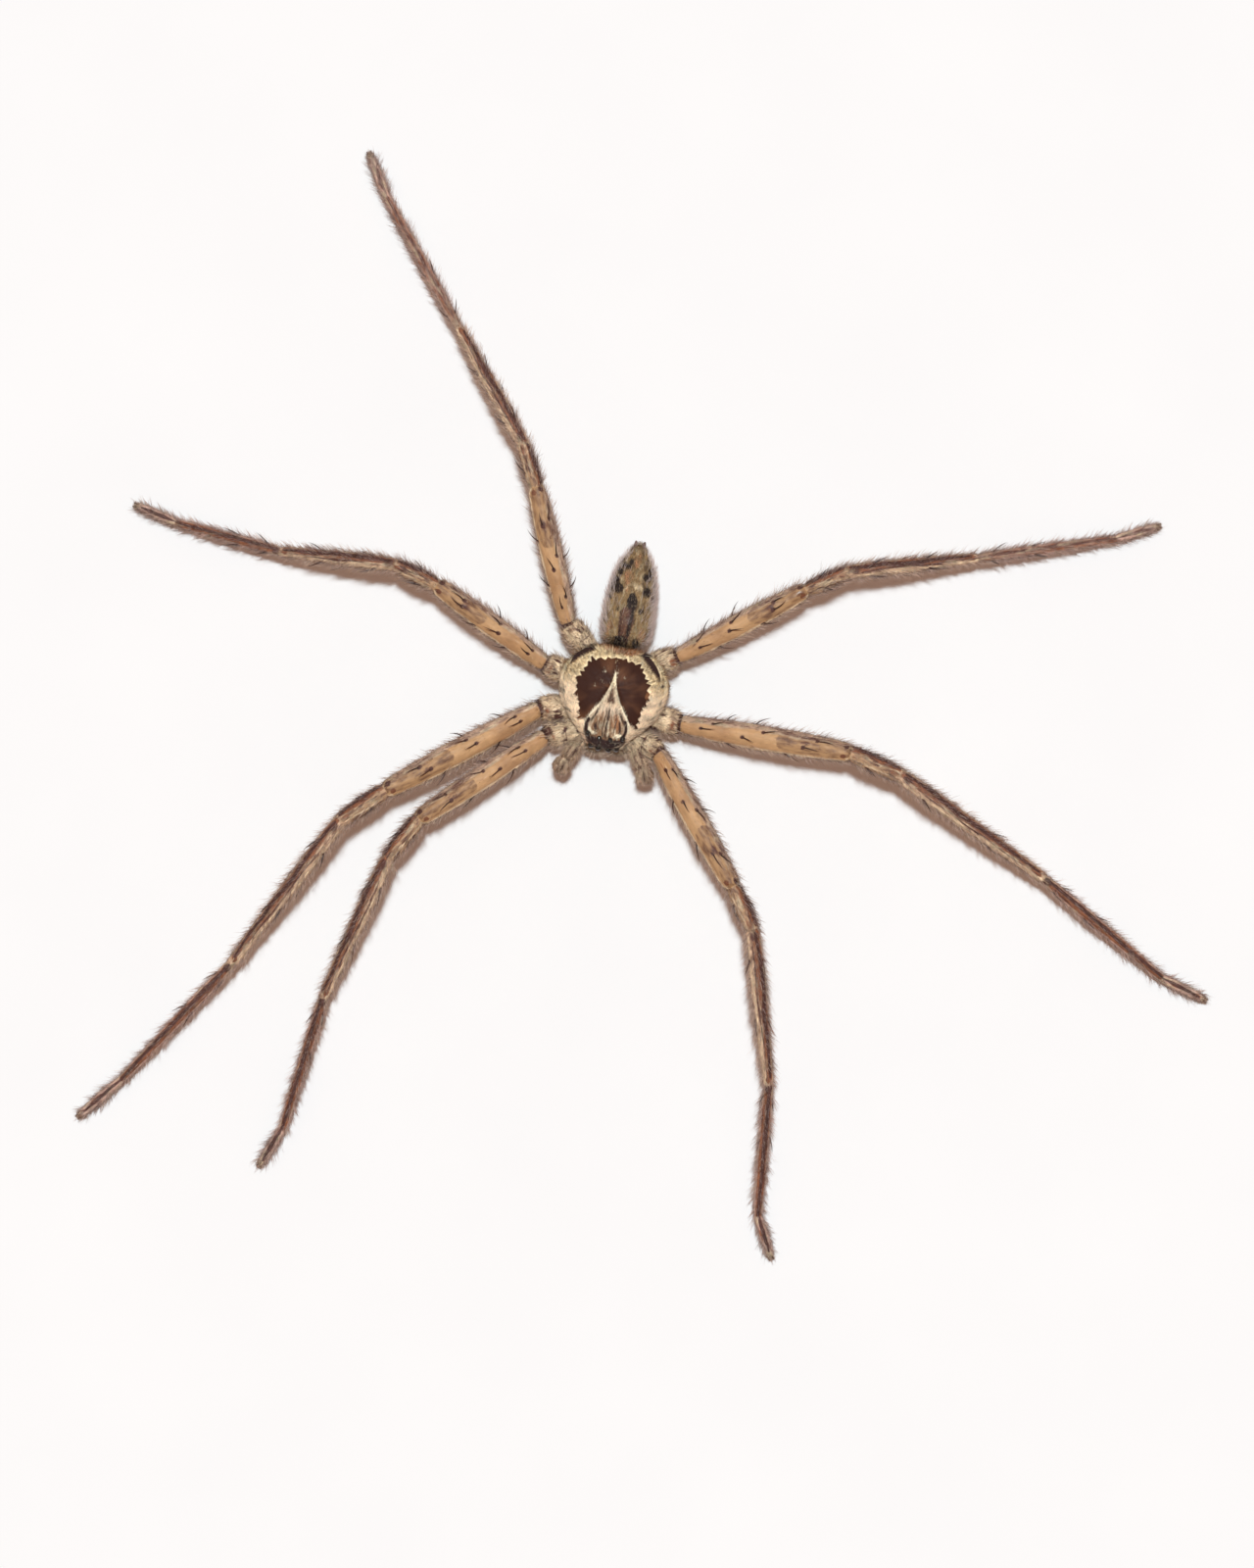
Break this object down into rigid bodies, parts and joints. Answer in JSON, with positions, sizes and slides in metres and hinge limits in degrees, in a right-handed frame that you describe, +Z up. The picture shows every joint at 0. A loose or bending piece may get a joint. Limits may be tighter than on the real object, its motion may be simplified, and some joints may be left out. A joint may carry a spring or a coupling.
{
  "type": "huntsman spider model",
  "caption": "Life-size still model of a male huntsman spider, flat on the floor with its legs spread.",
  "frame": {"origin": "middle of the spider's bounding box in plan, on the floor that its feet rest on", "axes": "+Z up off the floor; +Y towards the tail end and -Y towards the head, both seen as in the picture, with the body turned 6.8 degrees clockwise from -Y; +X towards the spider's left side"},
  "size_m": [0.0904, 0.0886, 0.0068],
  "materials": {
    "carapace": "cream hair over dark brown shell",
    "abdomen": "short olive-tan hair with dark spots",
    "eye": "glossy black",
    "chelicera": "brown shell with grey-brown hair",
    "pedipalp": "beige hair with brown spots",
    "coxa": "beige hair with black spots",
    "femur": "glossy orange-tan shell with fine hair",
    "tibia": "mottled brown-tan with fine hair",
    "foot": "dark brown with grey-brown hair"
  },
  "bodies": {
    "root": {"eye_front_median_left": "eye", "eye_front_lateral_left": "eye", "eye_rear_median_left": "eye", "eye_rear_lateral_left": "eye", "eye_front_median_right": "eye", "eye_front_lateral_right": "eye", "eye_rear_median_right": "eye", "eye_rear_lateral_right": "eye", "cephalothorax": "carapace", "chelicera_left": "chelicera", "pedipalp_left": "pedipalp", "cymbium_left": "pedipalp", "chelicera_right": "chelicera", "pedipalp_right": "pedipalp", "cymbium_right": "pedipalp", "abdomen": "abdomen", "leg1_right_coxa": "coxa", "leg1_right_femur": "femur", "leg1_right_patella": "tibia", "leg1_right_tibia": "tibia", "leg1_right_metatarsus": "foot", "leg1_right_tarsus": "foot", "leg1_left_coxa": "coxa", "leg1_left_femur": "femur", "leg1_left_patella": "tibia", "leg1_left_tibia": "tibia", "leg1_left_metatarsus": "foot", "leg1_left_tarsus": "foot", "leg2_right_coxa": "coxa", "leg2_right_femur": "femur", "leg2_right_patella": "tibia", "leg2_right_tibia": "tibia", "leg2_right_metatarsus": "foot", "leg2_right_tarsus": "foot", "leg2_left_coxa": "coxa", "leg2_left_femur": "femur", "leg2_left_patella": "tibia", "leg2_left_tibia": "tibia", "leg2_left_metatarsus": "foot", "leg2_left_tarsus": "foot", "leg3_right_coxa": "coxa", "leg3_right_femur": "femur", "leg3_right_patella": "tibia", "leg3_right_tibia": "tibia", "leg3_right_metatarsus": "foot", "leg3_right_tarsus": "foot", "leg4_right_coxa": "coxa", "leg4_right_femur": "femur", "leg4_right_patella": "tibia", "leg4_right_tibia": "tibia", "leg4_right_metatarsus": "foot", "leg4_right_tarsus": "foot", "leg4_left_coxa": "coxa", "leg4_left_femur": "femur", "leg4_left_patella": "tibia", "leg4_left_tibia": "tibia", "leg4_left_metatarsus": "foot", "leg4_left_tarsus": "foot", "leg3_left_coxa": "coxa"}
  },
  "joints": []
}
